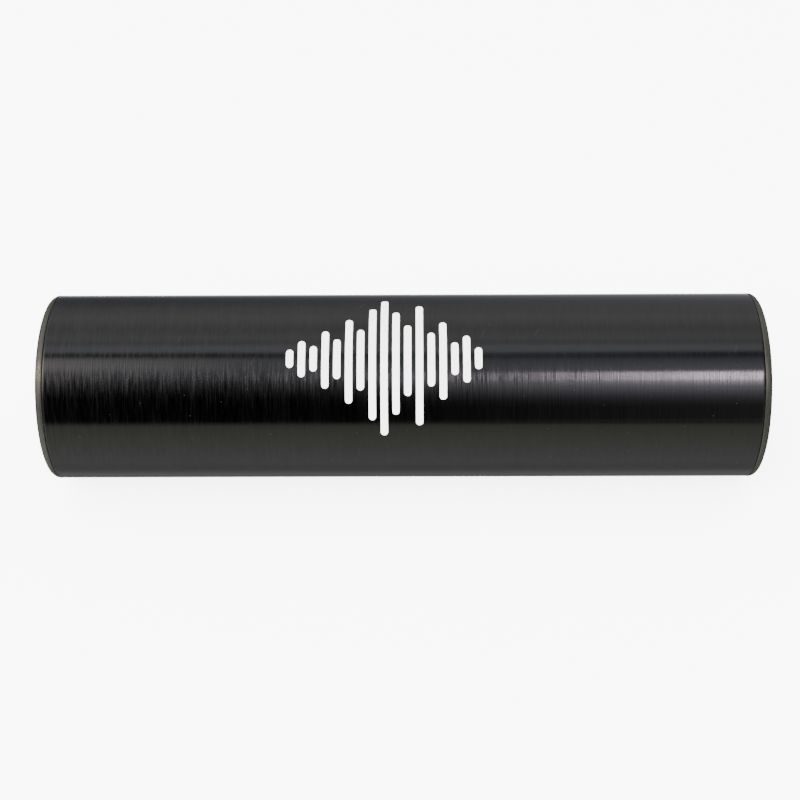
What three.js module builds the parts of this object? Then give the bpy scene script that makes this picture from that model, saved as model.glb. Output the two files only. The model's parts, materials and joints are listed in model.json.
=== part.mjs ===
// A tube shaker: a black anodised aluminium tube, closed at each end by a turned
// plug, with loose steel balls inside. Millimetres, +Z up. The tube lies on its
// side along X, and the origin is under its middle, on the surface it lies on.
import * as THREE from "three";

// Tube, cut from drawn stock
const tubeDiameter = 50.8;
const tubeWall = 1.6;
const tubeLength = 189.1;
const tubeOuterBreak = 0.35; // chamfer round the outside of each cut end
const tubeInnerBreak = 0.4; // chamfer round the mouth of the bore

// End cap: a flange as wide as the tube, and a hollow plug that is bonded into the bore
const flangeThickness = 2;
const rimRadius = 1.7; // rounding of the flange's outer edge
const rimLand = 0.1; // straight band that is always left beside that rounding
const seatBreak = 0.2; // chamfer of the flange's edge beside the tube
const seamGap = 0.3; // between the flange and the tube's end
const bondGap = 0.3; // adhesive film between the plug and the bore
const plugDepth = 9.5;
const plugWall = 2.6;
const plugLead = 0.9; // chamfer that guides the plug into the bore
const plugMouthBreak = 0.4;
const faceThickness = 3.2; // from the outer face to the floor of the plug's hollow
const hollowRadius = 1.6; // rounding between that floor and the plug's wall
const reliefWidth = 0.9; // undercut where the plug meets the flange
const reliefDepth = 0.35;
const glueGrooves = 2;
const grooveWidth = 1.1;
const grooveDepth = 0.45;
const grooveSpacing = 2.7;

// Shot: bearing balls in one layer along the bottom of the bore
const ballDiameter = 4.7625;
const ballGap = 0.3; // between a ball and whatever it lies against
const rowCount = 5; // rows side by side, each running along the tube
const ballsInRow = 11;

// Smoothness of the round forms
const sides = 64; // flats round the tube, one of them underneath
const roundingSteps = 3; // half the facets of a rounded corner
const ballDetail = 1;

// Sizes that follow
const tubeRadius = tubeDiameter / 2;
const boreRadius = tubeRadius - tubeWall;
const plugRadius = boreRadius - bondGap;
const seatX = tubeLength / 2 + seamGap; // inner face of each flange
const ballRadius = ballDiameter / 2;
const ballPitch = ballDiameter + ballGap;
const rowRadius = boreRadius - ballGap - ballRadius; // of the balls' centres, from the tube's axis
const rowAngle = 2 * Math.asin(ballPitch / 2 / rowRadius); // between rows that lie side by side
const middleRow = (rowCount - 1) / 2;
const stopX = seatX - plugDepth - ballGap - ballRadius; // of a ball that lies against a plug

const anodisedBlack = { color: 0x17181b, roughness: 0.34, metalness: 0.85 };
const turnedBlack = { color: 0x26251f, roughness: 0.5, metalness: 0.7 };
const brightSteel = { color: 0xb9bcc0, roughness: 0.18, metalness: 1 };

function namedMesh(name, geometry, finish) {
  const mesh = new THREE.Mesh(geometry, new THREE.MeshStandardMaterial(finish));
  mesh.name = name;
  return mesh;
}

// Revolves a profile about the tube's axis. A profile point is (radius, distance
// along the axis), and every flat of the solid lies at the radius it is given.
function turned(profile) {
  const acrossFlats = 1 / Math.cos(Math.PI / sides);
  const points = profile.getPoints(roundingSteps);
  const onFlats = points.map((p) => new THREE.Vector2(p.x * acrossFlats, p.y));
  const lathe = new THREE.LatheGeometry(onFlats, sides, Math.PI / sides);
  return lathe.rotateZ(-Math.PI / 2); // the lathe turns about Y, and the tube lies along X
}

// The tube: a plain wall with both edges of each cut end broken
function tube() {
  const end = tubeLength / 2;
  const wall = new THREE.Path();
  wall.moveTo(boreRadius, -end + tubeInnerBreak);
  wall.lineTo(boreRadius + tubeInnerBreak, -end);
  wall.lineTo(tubeRadius - tubeOuterBreak, -end);
  wall.lineTo(tubeRadius, -end + tubeOuterBreak);
  wall.lineTo(tubeRadius, end - tubeOuterBreak);
  wall.lineTo(tubeRadius - tubeOuterBreak, end);
  wall.lineTo(boreRadius + tubeInnerBreak, end);
  wall.lineTo(boreRadius, end - tubeInnerBreak);
  wall.closePath();
  return turned(wall);
}

// One shallow groove round the plug, which holds adhesive. The plug's side is
// drawn from its mouth towards the flange.
function drawGlueGroove(side, middle) {
  const slope = Math.min(grooveDepth, grooveWidth / 3);
  side.lineTo(plugRadius, middle - grooveWidth / 2);
  side.lineTo(plugRadius - grooveDepth, middle - grooveWidth / 2 + slope);
  side.lineTo(plugRadius - grooveDepth, middle + grooveWidth / 2 - slope);
  side.lineTo(plugRadius, middle + grooveWidth / 2);
}

// An end cap. The flange's seat is at 0, the plug on the negative side and the
// outer face on the positive side.
function endCap() {
  const floor = flangeThickness - faceThickness;
  const hollow = plugRadius - plugWall;
  const corner = hollow - hollowRadius;
  const rim = Math.min(rimRadius, flangeThickness - seatBreak - rimLand);
  const glueLand = (plugDepth - plugLead + reliefWidth) / 2; // middle of the plug's straight side

  const side = new THREE.Path();
  side.moveTo(0, floor);
  side.lineTo(corner, floor);
  side.absarc(corner, floor - hollowRadius, hollowRadius, Math.PI / 2, 0, true);
  side.lineTo(hollow, -plugDepth + plugMouthBreak);
  side.lineTo(hollow + plugMouthBreak, -plugDepth);
  side.lineTo(plugRadius - plugLead, -plugDepth);
  side.lineTo(plugRadius, -plugDepth + plugLead);
  for (let i = 0; i < glueGrooves; i++) {
    drawGlueGroove(side, -glueLand + (i - (glueGrooves - 1) / 2) * grooveSpacing);
  }
  side.lineTo(plugRadius, -reliefWidth);
  side.lineTo(plugRadius - reliefDepth, -reliefWidth + reliefDepth);
  side.lineTo(plugRadius - reliefDepth, 0);
  side.lineTo(tubeRadius - seatBreak, 0);
  side.lineTo(tubeRadius, seatBreak);
  side.lineTo(tubeRadius, flangeThickness - rim);
  side.absarc(tubeRadius - rim, flangeThickness - rim, rim, 0, Math.PI / 2);
  side.lineTo(0, flangeThickness);
  return turned(side);
}

// A ball on the wall of the bore. Rows are counted from 0 at the front.
function ball(name, row, x) {
  const angle = (row - middleRow) * rowAngle;
  const sphere = new THREE.IcosahedronGeometry(ballRadius, ballDetail);
  const mesh = namedMesh(name, sphere, brightSteel);
  mesh.position.set(x, rowRadius * Math.sin(angle), -rowRadius * Math.cos(angle));
  return mesh;
}

function shot() {
  const balls = new THREE.Group();
  for (let row = 0; row < rowCount; row++) {
    for (let place = 0; place < ballsInRow; place++) {
      const x = (place - (ballsInRow - 1) / 2) * ballPitch;
      balls.add(ball(`shot_row${row + 1}_ball${place + 1}`, row, x));
    }
  }
  balls.add(ball("shot_stray_ball", middleRow, -stopX));
  return balls;
}

const rightCap = namedMesh("right_end_cap", endCap(), turnedBlack);
rightCap.position.x = seatX;

const leftCap = namedMesh("left_end_cap", endCap(), turnedBlack);
leftCap.position.x = -seatX;
leftCap.rotation.z = Math.PI;

const shaker = new THREE.Group();
shaker.add(namedMesh("tube", tube(), anodisedBlack), rightCap, leftCap, shot());
shaker.position.z = tubeRadius;

const part = new THREE.Group();
part.add(shaker);

export default part;
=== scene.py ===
import json
import math

import bpy
from mathutils import Matrix, Vector


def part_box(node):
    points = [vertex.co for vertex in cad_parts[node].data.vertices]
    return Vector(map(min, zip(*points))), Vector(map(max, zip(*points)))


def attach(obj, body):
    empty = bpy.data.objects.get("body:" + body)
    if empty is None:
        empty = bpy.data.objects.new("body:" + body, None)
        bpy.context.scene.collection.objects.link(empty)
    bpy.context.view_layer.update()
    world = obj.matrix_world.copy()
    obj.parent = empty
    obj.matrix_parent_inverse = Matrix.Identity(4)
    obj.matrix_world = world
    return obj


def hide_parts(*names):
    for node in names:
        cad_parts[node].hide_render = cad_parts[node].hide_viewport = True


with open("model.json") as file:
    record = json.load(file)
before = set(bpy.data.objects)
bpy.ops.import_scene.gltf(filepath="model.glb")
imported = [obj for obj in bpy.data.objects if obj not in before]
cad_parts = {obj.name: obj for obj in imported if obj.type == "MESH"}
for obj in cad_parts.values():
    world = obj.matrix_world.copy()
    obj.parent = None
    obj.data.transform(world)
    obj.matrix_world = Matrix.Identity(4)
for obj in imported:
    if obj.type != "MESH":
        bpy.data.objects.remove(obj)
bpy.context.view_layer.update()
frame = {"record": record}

# The finished look of a tube shaker that lies on its side: a brushed black tube, a turned
# cap in each end, loose steel balls, printed bars, and the room that the tube mirrors.
# Lengths are in metres, mostly written as so many millimetres times mm.
mm = 0.001
samePlace = 0.001 * mm  # two points closer than this are taken as one
sameAngle = 0.0001  # radians: two angles closer than this are taken as one
sharpFrom = 30  # degrees: corners that turn more than this stay sharp

# Places that the frame gives
tubeLow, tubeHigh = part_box("tube")
axisHeight = (tubeLow.z + tubeHigh.z) / 2
outerRadius = (tubeHigh.z - tubeLow.z) / 2
axisPoint = (0, 0, axisHeight)
bodyNodes = frame["record"]["behaviour"]["bodies"]


# Camera

camera = {
    "elevation": 46.5,  # degrees above the floor
    "aside": 0.48,  # degrees to the right of straight in front
    "distance": 411 * mm,  # from the middle of the tube
    "lens": 66.37,
    "roll": -0.17,  # degrees, so that the tube rises a little to the right
    "shift": (-0.0045, -0.0180),  # of the frame, in widths of the picture
}


def addCamera():
    turns = ((90 - camera["elevation"], "X"), (camera["aside"], "Y"), (camera["roll"], "Z"))
    tilt = Matrix.Identity(3)
    for degrees, axis in turns:
        tilt = tilt @ Matrix.Rotation(math.radians(degrees), 3, axis)
    place = Vector(axisPoint) + tilt @ Vector((0, 0, camera["distance"]))
    bpy.ops.object.camera_add(location=place, rotation=tilt.to_euler())
    cameraObject = bpy.context.object
    cameraObject.name = "photoCamera"
    cameraObject.data.lens = camera["lens"]
    cameraObject.data.shift_x, cameraObject.data.shift_y = camera["shift"]
    cameraObject.data.clip_start = 10 * mm
    bpy.context.scene.camera = cameraObject


addCamera()
print("camera ready")


# Node helpers that every finish uses

def startFinish(name):
    finish = bpy.data.materials.new(name)
    finish.use_nodes = True
    return finish, finish.node_tree, finish.node_tree.nodes["Principled BSDF"]


def addNode(tree, kind, inputs=None, **settings):
    node = tree.nodes.new(kind)
    for key, value in settings.items():
        setattr(node, key, value)
    for key, value in (inputs or {}).items():
        if isinstance(value, bpy.types.NodeSocket):
            tree.links.new(value, node.inputs[key])
        else:
            node.inputs[key].default_value = value
    return node


def stretchedNoise(tree, across, detail=2.0, roughness=0.5, shift=(0, 0, 0)):
    # noise whose features measure across[0] by across[1] by across[2], in millimetres
    place = addNode(tree, "ShaderNodeTexCoord").outputs["Object"]
    size = tuple(1 / (a * mm) for a in across)
    mapped = addNode(tree, "ShaderNodeMapping", {"Vector": place, "Scale": size, "Location": shift})
    noise = addNode(
        tree, "ShaderNodeTexNoise",
        {
            "Vector": mapped.outputs["Vector"], "Scale": 1.0,
            "Detail": detail, "Roughness": roughness,
        },
    )
    return noise.outputs["Fac"]


def remap(tree, value, fromRange, toRange):
    node = addNode(
        tree, "ShaderNodeMapRange",
        {
            "Value": value, "From Min": fromRange[0], "From Max": fromRange[1],
            "To Min": toRange[0], "To Max": toRange[1],
        },
    )
    return node.outputs["Result"]


def calculate(tree, operation, first, second=0.0):
    node = addNode(tree, "ShaderNodeMath", {0: first, 1: second}, operation=operation)
    return node.outputs["Value"]


def weighed(tree, first, share, second):
    # the sum of two patterns, of which the first counts for that share
    part = calculate(tree, "MULTIPLY", first, share)
    return calculate(tree, "ADD", part, calculate(tree, "MULTIPLY", second, 1 - share))


def mixColour(tree, amount, first, second, blend="MIX"):
    node = addNode(tree, "ShaderNodeMix", data_type="RGBA", blend_type=blend)
    for key, value in ((0, amount), (6, first), (7, second)):
        if isinstance(value, bpy.types.NodeSocket):
            tree.links.new(value, node.inputs[key])
        else:
            node.inputs[key].default_value = value
    return node.outputs[2]


def unrolled(tree):
    # place along the tube and place round it, in metres
    place = addNode(tree, "ShaderNodeTexCoord").outputs["Object"]
    split = addNode(tree, "ShaderNodeSeparateXYZ", {"Vector": place})
    up = calculate(tree, "SUBTRACT", split.outputs["Z"], axisHeight)
    turn = calculate(tree, "ARCTAN2", up, calculate(tree, "MULTIPLY", split.outputs["Y"], -1.0))
    around = calculate(tree, "MULTIPLY", turn, outerRadius)
    joined = addNode(tree, "ShaderNodeCombineXYZ", {"X": split.outputs["X"], "Y": around})
    return joined.outputs["Vector"]


def marks(tree, size, share, spacing, lean=0.0, shift=(0, 0, 0)):
    # 1 inside sparse oval marks of that size in millimetres, along the tube and round it.
    # They lie that many sizes apart, only a share of the places holds one, and they lean
    # by that many degrees.
    turned = addNode(
        tree, "ShaderNodeVectorRotate",
        {"Vector": unrolled(tree), "Angle": math.radians(lean)}, rotation_type="Z_AXIS",
    )
    scale = (1 / (size[0] * mm), 1 / (size[1] * mm), 1)
    mapped = addNode(
        tree, "ShaderNodeMapping",
        {"Vector": turned.outputs["Vector"], "Scale": scale, "Location": shift},
    )
    cells = addNode(
        tree, "ShaderNodeTexVoronoi",
        {"Vector": mapped.outputs["Vector"], "Scale": 1 / spacing}, voronoi_dimensions="2D",
    )
    near = calculate(tree, "LESS_THAN", cells.outputs["Distance"], 0.5 / spacing)
    drawn = addNode(tree, "ShaderNodeSeparateColor", {"Color": cells.outputs["Color"]})
    held = calculate(tree, "LESS_THAN", drawn.outputs["Red"], share)
    return calculate(tree, "MULTIPLY", near, held)


def addBump(tree, shader, height, depth):
    # depth in millimetres
    bump = addNode(
        tree, "ShaderNodeBump", {"Height": height, "Distance": depth * mm, "Strength": 1.0}
    )
    tree.links.new(bump.outputs["Normal"], shader.inputs["Normal"])


def spreadAlongTube(tree, shader, amount):
    # the metal is brushed or turned round the tube's axis, so light spreads along it
    tangent = addNode(tree, "ShaderNodeTangent", direction_type="RADIAL", axis="X")
    tree.links.new(tangent.outputs["Tangent"], shader.inputs["Tangent"])
    shader.inputs["Anisotropic"].default_value = amount
    shader.inputs["Anisotropic Rotation"].default_value = 0.25  # of a whole turn


# Modelling helpers

def startMesh(name, finish):
    # names the primitive just added, and puts its place and turn into its mesh
    piece = bpy.context.object
    piece.name = name
    piece.data.name = name
    piece.data.materials.clear()
    piece.data.materials.append(finish)
    bpy.ops.object.transform_apply(location=True, rotation=True, scale=True)
    return piece


def deselectAll():
    if bpy.context.object and bpy.context.object.mode != "OBJECT":
        bpy.ops.object.mode_set(mode="OBJECT")
    bpy.ops.object.select_all(action="DESELECT")


def editSelected(piece, kind, chosen):
    # goes into edit mode with only the chosen vertices, edges or faces selected
    bpy.ops.object.mode_set(mode="EDIT")
    bpy.ops.mesh.select_mode(type=kind)
    bpy.ops.mesh.select_all(action="DESELECT")
    bpy.ops.object.mode_set(mode="OBJECT")
    parts = {
        "VERT": piece.data.vertices, "EDGE": piece.data.edges, "FACE": piece.data.polygons,
    }[kind]
    for part in parts:
        part.select = chosen(part)
    bpy.ops.object.mode_set(mode="EDIT")


def tidySurface():
    # closes seams, turns the faces outwards and smooths all but the sharp corners
    bpy.ops.object.mode_set(mode="EDIT")
    bpy.ops.mesh.select_all(action="SELECT")
    bpy.ops.mesh.remove_doubles(threshold=samePlace / 2)
    bpy.ops.mesh.normals_make_consistent(inside=False)
    bpy.ops.object.mode_set(mode="OBJECT")
    bpy.ops.object.shade_smooth_by_angle(angle=math.radians(sharpFrom))


# Tube

tube = {
    "wall": 1.6 * mm,
    "sides": 256,
    "seamClosed": 0.14 * mm,  # how far each end runs on towards its cap, for a finer seam
    "outerBreak": 0.14 * mm,
    "innerBreak": 0.4 * mm,
    "loops": (0.7 * mm, 12 * mm),  # from each end, to keep the shading of the long faces straight
    "inkRoom": 0.035 * mm,  # the printed ink stands this far out of the tube
    "colour": (0.0224, 0.0224, 0.0230, 1),
    "lightStreak": (0.0265, 0.0263, 0.0266, 1),
    "dust": (0.0185, 0.0190, 0.0200, 1),
    "scratch": (0.045, 0.045, 0.047, 1),
    "edgeTint": (0.54, 0.54, 0.55, 1),  # holds back the gloss that metal has at a glancing angle
    "roughness": (0.08, 0.225),
    "spread": 0.86,
    # the brushing: sizes in millimetres along the tube and across it
    "streakSize": (0.33, 6.0, 6.0),
    "bandSize": (3.5, 40.0, 40.0),
    "streakShare": 0.82,  # and the broad bands make up the rest
    "lightRange": (0.38, 0.68),  # how far into that pattern light streaks begin and are full
    "roughRange": (0.36, 0.64),
    "grooveSize": (0.33, 12.0, 12.0),
    "grooveDepth": 0.021,
    "dustMarks": {"size": (0.20, 0.20), "share": 0.50, "spacing": 36},
    "scratchMarks": {
        "size": (0.10, 3.4), "share": 0.14, "spacing": 26, "lean": 24, "shift": (4.0, 0.4, 0),
    },
}


def makeTubeFinish():
    finish, tree, shader = startFinish("blackAnodisedTube")
    fine = stretchedNoise(tree, tube["streakSize"], detail=3.0, roughness=0.65)
    broad = stretchedNoise(tree, tube["bandSize"], detail=1.0, shift=(3.1, 0.7, 1.9))
    streak = weighed(tree, fine, tube["streakShare"], broad)
    lightness = remap(tree, streak, tube["lightRange"], (0, 1))
    metal = mixColour(tree, lightness, tube["colour"], tube["lightStreak"])
    metal = mixColour(tree, marks(tree, **tube["scratchMarks"]), metal, tube["scratch"])
    dust = marks(tree, **tube["dustMarks"])
    tree.links.new(mixColour(tree, dust, metal, tube["dust"]), shader.inputs["Base Color"])
    roughness = remap(tree, streak, tube["roughRange"], tube["roughness"])
    tree.links.new(roughness, shader.inputs["Roughness"])
    tree.links.new(calculate(tree, "SUBTRACT", 1.0, dust), shader.inputs["Metallic"])
    shader.inputs["Specular Tint"].default_value = tube["edgeTint"]
    shader.inputs["Specular IOR Level"].default_value = 0.0
    spreadAlongTube(tree, shader, tube["spread"])
    groove = stretchedNoise(tree, tube["grooveSize"], detail=1.0, shift=(0.4, 5.2, 8.1))
    addBump(tree, shader, groove, tube["grooveDepth"])
    return finish


def makeTube():
    deselectAll()
    radius = outerRadius - tube["inkRoom"]
    end = tubeHigh.x + tube["seamClosed"]
    bpy.ops.mesh.primitive_cylinder_add(
        vertices=tube["sides"], radius=radius, depth=2 * end,
        location=axisPoint, rotation=(0, math.pi / 2, 0),
    )
    piece = startMesh("tube_shell", makeTubeFinish())

    # the bore: both ends inset by the wall, and the inner faces joined through
    editSelected(piece, "FACE", lambda face: abs(face.normal.x) > 0.9)
    bpy.ops.mesh.inset(thickness=tube["wall"] - tube["inkRoom"], depth=0)
    bpy.ops.mesh.bridge_edge_loops()
    bpy.ops.object.mode_set(mode="OBJECT")

    # the cut ends: each edge broken
    bore = outerRadius - tube["wall"]
    atEdge = 0.1 * mm  # far less than the wall, so that only one edge lies within it
    for edgeRadius, size in ((radius, tube["outerBreak"]), (bore, tube["innerBreak"])):
        def onEnd(edge, edgeRadius=edgeRadius):
            ends = [piece.data.vertices[v].co for v in edge.vertices]
            return all(
                abs(abs(p.x) - end) < samePlace
                and abs(math.hypot(p.y, p.z - axisHeight) - edgeRadius) < atEdge
                for p in ends
            )
        editSelected(piece, "EDGE", onEnd)
        bpy.ops.mesh.bevel(offset=size, segments=3, profile=0.5, affect="EDGES")
        bpy.ops.object.mode_set(mode="OBJECT")

    for side in (-1, 1):
        for back in tube["loops"]:
            bpy.ops.object.mode_set(mode="EDIT")
            bpy.ops.mesh.select_all(action="SELECT")
            bpy.ops.mesh.bisect(plane_co=(side * (end - back), 0, 0), plane_no=(1, 0, 0))
            bpy.ops.object.mode_set(mode="OBJECT")
    tidySurface()

    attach(piece, "housing")
    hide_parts("tube")


makeTube()
print("tube ready")


# End caps: one half section, spun about the tube's axis

cap = {
    "steps": 192,  # round the axis
    "flange": 2 * mm,
    "rimRadius": 1.7 * mm,
    "seatBreak": 0.12 * mm,
    "plugDepth": 9.5 * mm,
    "plugRadius": 23.5 * mm,
    "plugWall": 2.6 * mm,
    "plugLead": 0.9 * mm,
    "mouthBreak": 0.4 * mm,
    "face": 3.2 * mm,
    "hollowRadius": 1.6 * mm,
    "hollowLoop": 2.2 * mm,  # from the hollow's corner, to keep its wall and floor flat
    "relief": (0.9 * mm, 0.35 * mm),  # width and depth of the undercut beside the flange
    "grooveWidth": 1.1 * mm,
    "grooveDepth": 0.45 * mm,
    "grooveSpacing": 2.7 * mm,
    "faceLoop": 0.3 * mm,  # inside the rim, to keep the face flat
    "centreMark": (0.8 * mm, 0.5 * mm),  # radius and depth of the lathe's mark
    "centreBreak": 0.12 * mm,
    "colour": (0.030, 0.030, 0.026, 1),
    "lightRing": (0.056, 0.055, 0.049, 1),
    "grain": (0.15, 0.14, 0.12, 1),
    # light specks of the one worn spot on the left cap's rim; the spot faces where the highlight
    # falls, so this colour is partly wear and partly painted highlight
    "pitsAndHighlight": (0.15, 0.135, 0.115, 1),
    "highlightAngle": 56.0,  # degrees above the front horizon, on the left cap's rim
    "spotReach": 3.2 * mm,
    "spotCore": 0.3,  # share of that reach in which the pits lie closest
    "pitDepth": 2.0,  # against the rings
    "edgeTint": (0.40, 0.40, 0.38, 1),
    "roughness": (0.42, 0.55),
    "metallic": 0.9,
    "specular": 0.3,
    "spread": 0.6,
    # the turned surface: sizes and depth in millimetres
    "ringWidth": 0.28,
    "ringShare": 0.6,  # and fine grain makes up the rest
    "toneRange": (0.35, 0.65),
    "grainSize": (0.30, 0.30, 0.30),
    "sparkSize": (0.20, 0.20, 0.20),
    "sparkRange": (0.78, 0.84),
    "speckSize": (0.22, 0.22, 0.22),
    "speckRange": (0.52, 0.64),
    "depth": 0.006,
}


def capSection():
    # (radius, place from the seat outwards, rounding, facets of that rounding)
    radius = outerRadius
    plug = cap["plugRadius"]
    hollow = plug - cap["plugWall"]
    floor = cap["flange"] - cap["face"]
    width, depth = cap["relief"]
    section = [
        (0, floor, 0, 0),
        (hollow - cap["hollowLoop"], floor, 0, 0),
        (hollow, floor, cap["hollowRadius"], 6),
        (hollow, floor - cap["hollowLoop"], 0, 0),
        (hollow, -cap["plugDepth"], cap["mouthBreak"], 1),
        (plug, -cap["plugDepth"], cap["plugLead"], 1),
    ]
    middle = -(cap["plugDepth"] - cap["plugLead"] + width) / 2
    half, slope = cap["grooveWidth"] / 2, cap["grooveWidth"] / 3
    for side in (-0.5, 0.5):
        groove = middle + side * cap["grooveSpacing"]
        section += [
            (plug, groove - half, 0, 0),
            (plug - cap["grooveDepth"], groove - half + slope, 0, 0),
            (plug - cap["grooveDepth"], groove + half - slope, 0, 0),
            (plug, groove + half, 0, 0),
        ]
    markRadius, markDepth = cap["centreMark"]
    section += [
        (plug, -width, 0, 0),
        (plug - depth, -width + depth, 0, 0),
        (plug - depth, 0, 0, 0),
        (radius, 0, cap["seatBreak"], 1),
        (radius, cap["flange"], cap["rimRadius"], 10),
        (radius - cap["rimRadius"] - cap["faceLoop"], cap["flange"], 0, 0),
        (markRadius, cap["flange"], cap["centreBreak"], 2),
        (0, cap["flange"] - markDepth, 0, 0),
    ]
    return section


def turnSection(name, section, seatX, outwards, finish):
    # draws the half section as one line of edges, rounds its corners and spins it
    deselectAll()
    points = [(seatX + outwards * corner[1], 0, axisHeight + corner[0]) for corner in section]
    bpy.ops.mesh.primitive_plane_add(size=1 * mm, location=points[0])
    piece = startMesh(name, finish)
    editSelected(piece, "VERT", lambda vertex: True)
    bpy.ops.mesh.merge(type="CENTER")
    for here, after in zip(points, points[1:]):
        step = tuple(b - a for a, b in zip(here, after))
        bpy.ops.mesh.extrude_region_move(TRANSFORM_OT_translate={"value": step})
    bpy.ops.object.mode_set(mode="OBJECT")

    for point, corner in zip(points, section):
        rounding, facets = corner[2:]
        if rounding:
            def isPoint(vertex, point=point):
                return math.dist(vertex.co, point) < samePlace
            editSelected(piece, "VERT", isPoint)
            bpy.ops.mesh.bevel(offset=rounding, segments=facets, profile=0.5, affect="VERTICES")
            bpy.ops.object.mode_set(mode="OBJECT")

    bpy.ops.object.mode_set(mode="EDIT")
    bpy.ops.mesh.select_all(action="SELECT")
    bpy.ops.mesh.spin(steps=cap["steps"], angle=math.tau, center=axisPoint, axis=(1, 0, 0))
    bpy.ops.object.mode_set(mode="OBJECT")
    tidySurface()
    return piece


def turnedRings(tree):
    # rings that the tool left: noise by distance from the axis and by place along it
    place = addNode(tree, "ShaderNodeTexCoord").outputs["Object"]
    centred = addNode(tree, "ShaderNodeMapping", {"Vector": place, "Location": (0, 0, -axisHeight)})
    split = addNode(tree, "ShaderNodeSeparateXYZ", {"Vector": centred.outputs["Vector"]})
    flat = addNode(tree, "ShaderNodeCombineXYZ", {"Y": split.outputs["Y"], "Z": split.outputs["Z"]})
    away = addNode(tree, "ShaderNodeVectorMath", {0: flat.outputs["Vector"]}, operation="LENGTH")
    rings = 1 / (cap["ringWidth"] * mm)
    ringPlace = addNode(
        tree, "ShaderNodeCombineXYZ",
        {
            "X": calculate(tree, "MULTIPLY", away.outputs["Value"], rings),
            "Y": calculate(tree, "MULTIPLY", split.outputs["X"], rings),
        },
    )
    noise = addNode(
        tree, "ShaderNodeTexNoise",
        {"Vector": ringPlace.outputs["Vector"], "Scale": 1.0, "Detail": 2.0, "Roughness": 0.6},
    )
    return noise.outputs["Fac"]


def wornAndLitSpot(tree):
    # one place on the left cap's rim, where fine pits and bare specks lie close together; it faces
    # where the highlight falls, so its light specks are partly painted highlight
    facing = math.radians(cap["highlightAngle"])
    spot = (
        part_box("left_end_cap")[0].x + cap["flange"] / 2,
        -outerRadius * math.cos(facing), axisHeight + outerRadius * math.sin(facing),
    )
    place = addNode(tree, "ShaderNodeTexCoord").outputs["Object"]
    away = addNode(tree, "ShaderNodeVectorMath", {0: place, 1: spot}, operation="DISTANCE")
    reach = (cap["spotCore"] * cap["spotReach"], cap["spotReach"])
    nearSpot = remap(tree, away.outputs["Value"], reach, (1, 0))
    speck = stretchedNoise(tree, cap["speckSize"], detail=1.0, shift=(1.7, 2.9, 0.6))
    return calculate(tree, "MULTIPLY", nearSpot, remap(tree, speck, cap["speckRange"], (0, 1)))


def makeCapFinish():
    finish, tree, shader = startFinish("turnedBlackCap")
    grain = stretchedNoise(tree, cap["grainSize"], detail=2.0, roughness=0.7)
    tone = weighed(tree, turnedRings(tree), cap["ringShare"], grain)
    lightness = remap(tree, tone, cap["toneRange"], (0, 1))
    metal = mixColour(tree, lightness, cap["colour"], cap["lightRing"])
    spark = stretchedNoise(tree, cap["sparkSize"], detail=0.0, shift=(5.3, 0.8, 2.2))
    metal = mixColour(tree, remap(tree, spark, cap["sparkRange"], (0, 1)), metal, cap["grain"])
    # fine pits, and light specks there that are partly painted highlight
    pitsAndHighlight = wornAndLitSpot(tree)
    tree.links.new(mixColour(tree, pitsAndHighlight, metal, cap["pitsAndHighlight"]), shader.inputs["Base Color"])
    roughness = remap(tree, tone, cap["toneRange"], cap["roughness"])
    tree.links.new(roughness, shader.inputs["Roughness"])
    shader.inputs["Metallic"].default_value = cap["metallic"]
    shader.inputs["Specular Tint"].default_value = cap["edgeTint"]
    shader.inputs["Specular IOR Level"].default_value = cap["specular"]
    spreadAlongTube(tree, shader, cap["spread"])
    dented = calculate(tree, "SUBTRACT", tone, calculate(tree, "MULTIPLY", pitsAndHighlight, cap["pitDepth"]))
    addBump(tree, shader, dented, cap["depth"])
    return finish


def makeCaps():
    finish = makeCapFinish()
    section = capSection()
    ends = (("right_cap", "right_end_cap", 1), ("left_cap", "left_end_cap", -1))
    for name, node, outwards in ends:
        low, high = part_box(node)
        outerFace = high.x if outwards > 0 else low.x
        seatX = outerFace - outwards * cap["flange"]
        piece = turnSection(name, section, seatX, outwards, finish)
        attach(piece, "housing")
        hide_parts(node)


makeCaps()
print("end caps ready")


# Shot: one ball is modelled, and every ball in the frame gets a copy of it

shot = {
    "diameter": 4.7625 * mm,
    "cuts": 7,  # across each face of the cube that the ball is made from
    "colour": (0.56, 0.57, 0.58, 1),
    "scuffed": (0.40, 0.40, 0.41, 1),
    "roughness": (0.10, 0.26),
    "scuffSize": (0.9, 0.9, 0.9),  # millimetres
    "scuffRange": (0.42, 0.66),
    "roughRange": (0.35, 0.65),
    "depth": 0.002,  # millimetres
}


def makeShotFinish():
    finish, tree, shader = startFinish("polishedShot")
    scuff = stretchedNoise(tree, shot["scuffSize"], detail=3.0, roughness=0.6)
    worn = remap(tree, scuff, shot["scuffRange"], (0, 1))
    colour = mixColour(tree, worn, shot["colour"], shot["scuffed"])
    tree.links.new(colour, shader.inputs["Base Color"])
    roughness = remap(tree, scuff, shot["roughRange"], shot["roughness"])
    tree.links.new(roughness, shader.inputs["Roughness"])
    shader.inputs["Metallic"].default_value = 1.0
    addBump(tree, shader, scuff, shot["depth"])
    return finish


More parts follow.
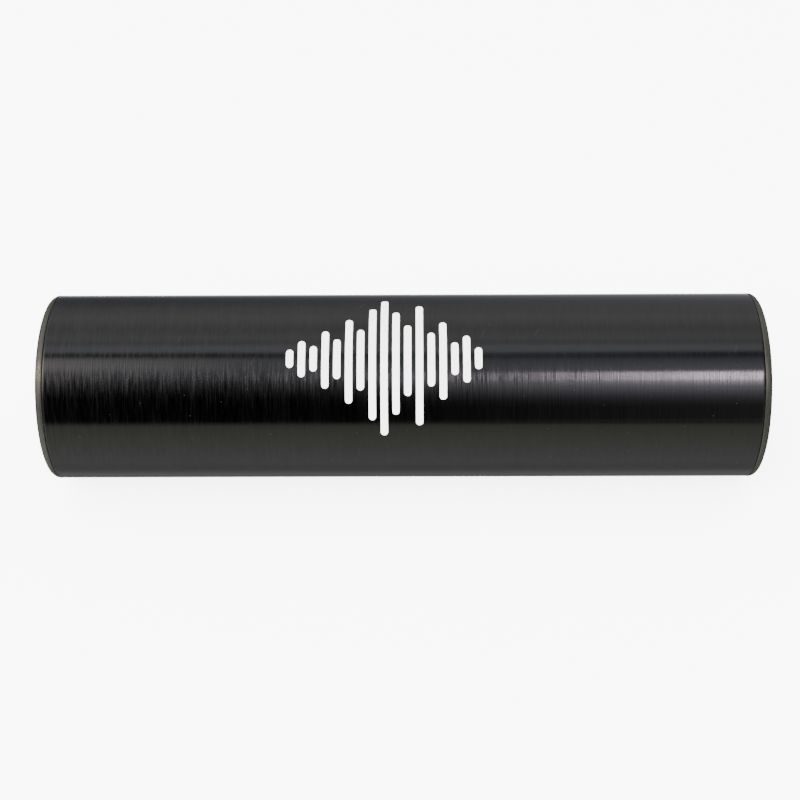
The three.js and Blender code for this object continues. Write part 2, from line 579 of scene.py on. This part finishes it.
def makeShot():
    deselectAll()
    bpy.ops.mesh.primitive_cube_add(size=shot["diameter"])
    pattern = startMesh("ball_pattern", makeShotFinish())
    bpy.ops.object.mode_set(mode="EDIT")
    bpy.ops.mesh.subdivide(number_cuts=shot["cuts"])
    bpy.ops.transform.tosphere(value=1)
    bpy.ops.object.mode_set(mode="OBJECT")
    pattern.dimensions = (shot["diameter"],) * 3
    bpy.ops.object.transform_apply(scale=True)
    bpy.ops.object.shade_smooth()

    count = 0
    for body, nodes in bodyNodes.items():
        for node in nodes:
            if not node.startswith("shot_"):
                continue
            low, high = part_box(node)
            deselectAll()
            pattern.select_set(True)
            bpy.context.view_layer.objects.active = pattern
            bpy.ops.object.duplicate(linked=False)
            ball = bpy.context.object
            ball.name = node.replace("shot_", "steel_")
            ball.data.name = ball.name
            ball.location = (low + high) / 2
            bpy.ops.object.transform_apply(location=True)
            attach(ball, body)
            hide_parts(node)
            count += 1
    deselectAll()
    pattern.select_set(True)
    bpy.ops.object.delete()
    return count


print("shot ready:", makeShot(), "balls")


# Print: a row of upright bars, like a trace of sound, in white ink on the tube

bars = {
    "heights": (5, 10, 7, 16, 11, 24, 17, 33, 42, 30, 20, 36, 15, 22, 9, 13, 6),  # millimetres
    "width": 1.9 * mm,
    "gap": 1.2 * mm,
    "middle": -4.9 * mm,  # along the tube
    "facing": 62.9,  # degrees above the front horizon, where the middle of the bars looks
    "facet": 1.25 * mm,  # length of a bar's facets round the tube
    "ink": 0.06 * mm,
    "colour": (0.86, 0.86, 0.85, 1),
    "worn": (0.74, 0.74, 0.73, 1),
    "roughness": (0.42, 0.60),
    # the ink's surface: sizes and depth in millimetres
    "mottleSize": (1.6, 1.6, 1.6),
    "mottleShare": 0.6,  # and fine grain makes up the rest
    "grainSize": (0.25, 0.25, 0.25),
    "wornRange": (0.40, 0.70),
    "roughRange": (0.35, 0.65),
    "depth": 0.004,
}


def makeInkFinish():
    finish, tree, shader = startFinish("whiteInk")
    mottle = stretchedNoise(tree, bars["mottleSize"], detail=3.0, roughness=0.6)
    grain = stretchedNoise(tree, bars["grainSize"], detail=1.0)
    tone = weighed(tree, mottle, bars["mottleShare"], grain)
    worn = remap(tree, tone, bars["wornRange"], (0, 1))
    colour = mixColour(tree, worn, bars["colour"], bars["worn"])
    tree.links.new(colour, shader.inputs["Base Color"])
    roughness = remap(tree, tone, bars["roughRange"], bars["roughness"])
    tree.links.new(roughness, shader.inputs["Roughness"])
    addBump(tree, shader, grain, bars["depth"])
    return finish


def makeBar(name, x, height, finish):
    # a short edge along the tube, spun round its axis into a strip, with round ends
    deselectAll()
    half = height / outerRadius / 2  # half the angle that the bar covers
    start = math.radians(90 - bars["facing"]) + half  # from straight up towards the front
    place = (x, -outerRadius * math.sin(start), axisHeight + outerRadius * math.cos(start))
    bpy.ops.mesh.primitive_plane_add(size=bars["width"], location=place)
    piece = startMesh(name, finish)
    editSelected(piece, "VERT", lambda vertex: vertex.co.y > place[1])
    bpy.ops.mesh.delete(type="VERT")
    bpy.ops.mesh.select_all(action="SELECT")
    bpy.ops.transform.translate(value=(0, bars["width"] / 2, 0))
    steps = max(3, round(height / bars["facet"]))
    bpy.ops.mesh.spin(steps=steps, angle=2 * half, center=axisPoint, axis=(1, 0, 0))
    bpy.ops.object.mode_set(mode="OBJECT")

    def isCorner(vertex):
        angle = math.atan2(-vertex.co.y, vertex.co.z - axisHeight)
        return abs(abs(angle - start + half) - half) < sameAngle
    editSelected(piece, "VERT", isCorner)
    almostHalf = bars["width"] * 0.499  # so that the two rounded corners of an end don't meet
    bpy.ops.mesh.bevel(offset=almostHalf, segments=5, profile=0.5, affect="VERTICES")
    bpy.ops.object.mode_set(mode="OBJECT")
    return piece


def makeBars():
    finish = makeInkFinish()
    heights = [h * mm for h in bars["heights"]]
    pitch = bars["width"] + bars["gap"]
    made = []
    for i, height in enumerate(heights):
        x = bars["middle"] + (i - (len(heights) - 1) / 2) * pitch
        made.append(makeBar("bar" + str(i + 1), x, height, finish))
    deselectAll()
    for piece in made:
        piece.select_set(True)
    bpy.context.view_layer.objects.active = made[0]
    bpy.ops.object.join()
    piece = bpy.context.object
    piece.name = "printed_bars"
    piece.data.name = "printed_bars"
    bpy.ops.object.mode_set(mode="EDIT")
    bpy.ops.mesh.select_all(action="SELECT")
    bpy.ops.mesh.normals_make_consistent(inside=False)
    bpy.ops.object.mode_set(mode="OBJECT")
    thick = piece.modifiers.new("ink", "SOLIDIFY")
    thick.thickness = bars["ink"]
    thick.offset = -1  # inwards, so that the outside of the ink stays where it was drawn
    bpy.ops.object.modifier_apply(modifier=thick.name)
    tidySurface()
    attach(piece, "housing")


makeBars()
print("print ready")


# Floor and backdrop. The tube mirrors neither: it mirrors the room in the next section.

floor = {
    "size": 8.0,
    "colour": (0.80, 0.80, 0.80, 1),
    "darker": 0.985,  # the least share of that colour in its faint clouds
    "cloudSize": (90.0, 90.0, 90.0),  # millimetres
    "roughness": 0.9,
    "specular": 0.1,
    "glow": 5.0,  # its own light, which hides most of the shadow
}
backdrop = {
    "radius": 6.0,
    "glow": 8.0,
}


def makeFloor():
    deselectAll()
    bpy.ops.mesh.primitive_plane_add(size=floor["size"])
    finish, tree, shader = startFinish("paleFloor")
    piece = startMesh("floor", finish)
    clouds = stretchedNoise(tree, floor["cloudSize"], detail=1.0)
    darker = tuple(c * floor["darker"] for c in floor["colour"][:3]) + (1,)
    colour = mixColour(tree, clouds, darker, floor["colour"])
    tree.links.new(colour, shader.inputs["Base Color"])
    shader.inputs["Roughness"].default_value = floor["roughness"]
    shader.inputs["Specular IOR Level"].default_value = floor["specular"]
    shader.inputs["Emission Color"].default_value = (1, 1, 1, 1)
    shader.inputs["Emission Strength"].default_value = floor["glow"]
    piece.visible_glossy = False


def makeBackdrop():
    deselectAll()
    bpy.ops.mesh.primitive_uv_sphere_add(segments=64, ring_count=32, radius=backdrop["radius"])
    finish, tree, shader = startFinish("paleBackdrop")
    piece = startMesh("backdrop", finish)
    bpy.ops.object.shade_smooth()
    shader.inputs["Base Color"].default_value = (0, 0, 0, 1)
    shader.inputs["Emission Color"].default_value = (1, 1, 1, 1)
    shader.inputs["Emission Strength"].default_value = backdrop["glow"]
    piece.visible_diffuse = False
    piece.visible_glossy = False
    piece.visible_transmission = False
    piece.visible_shadow = False


makeFloor()
makeBackdrop()
print("floor ready")


# Light: a room that the tube mirrors as bands, with a warm glow to the left and a bright
# strip to the right, and soft lamps that it doesn't mirror

tints = {
    "plain": (1.0, 1.0, 1.0),
    "cool": (0.97, 1.0, 1.05),
    "blue": (0.93, 0.99, 1.11),
    "olive": (0.99, 1.03, 0.87),
    "warm": (1.02, 1.0, 0.97),
    "amber": (1.06, 0.96, 0.86),
    "rose": (1.0, 0.88, 0.97),
    "violet": (1.0, 0.96, 1.06),
}

# Brightness and tint by the angle from the front horizon over the top to the back one, in
# degrees. Negative angles are below the horizon.
room = {
    "bands": (
        (-180, 1.15, "cool"), (-168, 0.6, "cool"), (-160, 0.7, "plain"), (-150, 1.5, "plain"),
        (-130, 1.5, "plain"), (-120, 0.4, "plain"), (-108, 0.55, "plain"), (-92, 1.8, "warm"),
        (-64, 2.35, "warm"), (-45, 2.1, "warm"), (-20, 1.75, "olive"), (-4.5, 1.40, "olive"),
        (1.5, 0.04, "olive"), (32, 0.0, "plain"), (40, 0.04, "plain"), (50, 0.38, "cool"),
        (59, 1.22, "blue"), (66, 1.55, "blue"), (78.5, 1.5, "blue"), (83.3, 0.58, "blue"),
        (86.3, 0.58, "blue"), (90, 2.5, "cool"), (95, 2.7, "cool"), (101, 1.9, "plain"),
        (108, 2.3, "plain"), (121, 1.95, "warm"), (141, 2.5, "warm"), (162, 2.05, "plain"),
        (180, 1.15, "cool"),
    ),
    # what is far to the left and to the right, which mostly the end caps mirror
    "left": (
        (-180, 3.0, "plain"), (-60, 4.0, "plain"), (-10, 3.0, "plain"), (5, 1.5, "plain"),
        (30, 1.6, "plain"), (50, 8.5, "amber"), (62, 12.0, "amber"), (76, 10.5, "amber"),
        (86, 7.0, "amber"), (98, 4.2, "plain"), (115, 3.4, "plain"), (180, 3.0, "plain"),
    ),
    "right": (
        (-180, 2.6, "plain"), (-110, 2.2, "plain"), (-60, 1.2, "plain"), (0, 1.4, "olive"),
        (40, 0.6, "plain"), (110, 0.6, "plain"), (140, 2.4, "plain"), (180, 2.6, "plain"),
    ),
    # shares of straight sideways, negative to the left: where the sides begin and are full,
    # how near to the middle left and right meet, and where both give way to dim ends
    "sidesGrow": (0.30, 0.48),
    "sidesMeet": (-0.1, 0.1),
    "endsGrow": (0.90, 0.98),
    "ends": 0.9,  # brightness straight along the tube's axis
}

# Lights added to the room: each grows between two shares of straight sideways, by a power,
# and some fall off again between two more
glows = {
    "warmLeft": {
        "bands": (
            (61, 0, "amber"), (65, 1.1, "amber"), (70, 2.4, "amber"), (76, 2.6, "amber"),
            (81, 1.8, "amber"), (84, 0, "amber"),
        ),
        "grows": (-0.12, -0.21),
        "power": 1.0,
    },
    "rightStrip": {
        "bands": (
            (45, 0, "violet"), (49, 12, "violet"), (52, 33, "rose"), (54, 80, "rose"),
            (61.5, 80, "rose"), (62.8, 20, "rose"), (65, 0, "rose"),
        ),
        "grows": (0.0, 0.27),
        "falls": (0.27, 0.34),
        "power": 4.2,
    },
    "rightFade": {
        "bands": (
            (0.5, 0, "olive"), (1.5, 1.0, "olive"), (4, 0.42, "plain"), (20, 0.46, "plain"),
            (28, 1.0, "violet"), (34, 2.0, "violet"), (40, 3.6, "violet"), (45, 5.1, "violet"),
            (50, 4.6, "violet"), (55, 0.9, "violet"), (62, 0.9, "violet"), (65, 1.5, "rose"),
            (69, 1.2, "rose"), (72.5, 0.75, "cool"), (77, 0.15, "cool"), (79, 0, "cool"),
        ),
        "grows": (0.0, 0.24),
        "power": 0.55,
    },
    "middleTop": {
        "bands": ((82, 0, "cool"), (84, 0.75, "cool"), (89, 0.75, "cool"), (90, 0, "cool")),
        "grows": (-0.12, 0.0),
        "falls": (0.08, 0.17),
        "power": 1.0,
    },
    "backRight": {
        "bands": (
            (-180, 1.15, "plain"), (-168, 0.85, "plain"), (-155, 0, "plain"), (150, 0, "plain"),
            (162, 0.45, "plain"), (172, 0.95, "plain"), (180, 1.15, "plain"),
        ),
        "grows": (-0.20, 0.25),
        "power": 1.0,
    },
}

# Lamps that the tube doesn't mirror: place, side, watts
lamps = {
    "softFront": ((-0.5, -1.2, 1.7), 1.6, 110.0),
    "softTop": ((0.3, 0.5, 2.2), 2.4, 90.0),
}


def bandRamp(tree, angle, bands, top):
    # colour by angle, as a share of the top brightness, because a ramp ends at 1
    lowest, highest = bands[0][0], bands[-1][0]
    span = (math.radians(lowest), math.radians(highest))
    ramp = addNode(tree, "ShaderNodeValToRGB", {"Fac": remap(tree, angle, span, (0, 1))})
    stops = ramp.color_ramp.elements
    while len(stops) < len(bands):
        stops.new(0.5)
    for stop, (degrees, level, tint) in zip(stops, bands):
        stop.position = (degrees - lowest) / (highest - lowest)
        stop.color = tuple(level / top * t for t in tints[tint]) + (1,)
    return ramp.outputs["Color"]


def makeRoom():
    world = bpy.data.worlds.new("studio")
    bpy.context.scene.world = world
    world.use_nodes = True
    tree = world.node_tree
    way = addNode(tree, "ShaderNodeTexCoord").outputs["Generated"]
    split = addNode(tree, "ShaderNodeSeparateXYZ", {"Vector": way})
    front = calculate(tree, "MULTIPLY", split.outputs["Y"], -1.0)
    angle = calculate(tree, "ARCTAN2", split.outputs["Z"], front)
    sideways = split.outputs["X"]
    levels = [level for glow in glows.values() for degrees, level, tint in glow["bands"]]
    top = max(levels) * 1.1  # the tints reach a little over 1

    light = bandRamp(tree, angle, room["bands"], top)
    for glow in glows.values():
        grown = remap(tree, sideways, glow["grows"], (0, 1))
        share = calculate(tree, "POWER", grown, glow["power"])
        if "falls" in glow:
            fallen = remap(tree, sideways, glow["falls"], (1, 0))
            share = calculate(tree, "MULTIPLY", share, fallen)
        light = mixColour(tree, share, light, bandRamp(tree, angle, glow["bands"], top), "ADD")
    toRight = remap(tree, sideways, room["sidesMeet"], (0, 1))
    left, right = (bandRamp(tree, angle, room[side], top) for side in ("left", "right"))
    sides = mixColour(tree, toRight, left, right)
    outwards = calculate(tree, "ABSOLUTE", sideways)
    ends = (room["ends"] / top,) * 3 + (1,)
    sides = mixColour(tree, remap(tree, outwards, room["endsGrow"], (0, 1)), sides, ends)
    toSides = remap(tree, outwards, room["sidesGrow"], (0, 1))
    background = tree.nodes["Background"]
    tree.links.new(mixColour(tree, toSides, light, sides), background.inputs["Color"])
    background.inputs["Strength"].default_value = top


def makeLamps():
    for name, (place, side, power) in lamps.items():
        towards = Vector(axisPoint) - Vector(place)
        bpy.ops.object.light_add(
            type="AREA", location=place, rotation=towards.to_track_quat("-Z", "Y").to_euler()
        )
        lamp = bpy.context.object
        lamp.name = name
        lamp.data.shape = "SQUARE"
        lamp.data.size = side
        lamp.data.energy = power
        lamp.visible_camera = False
        lamp.visible_glossy = False


makeRoom()
makeLamps()
print("light ready")
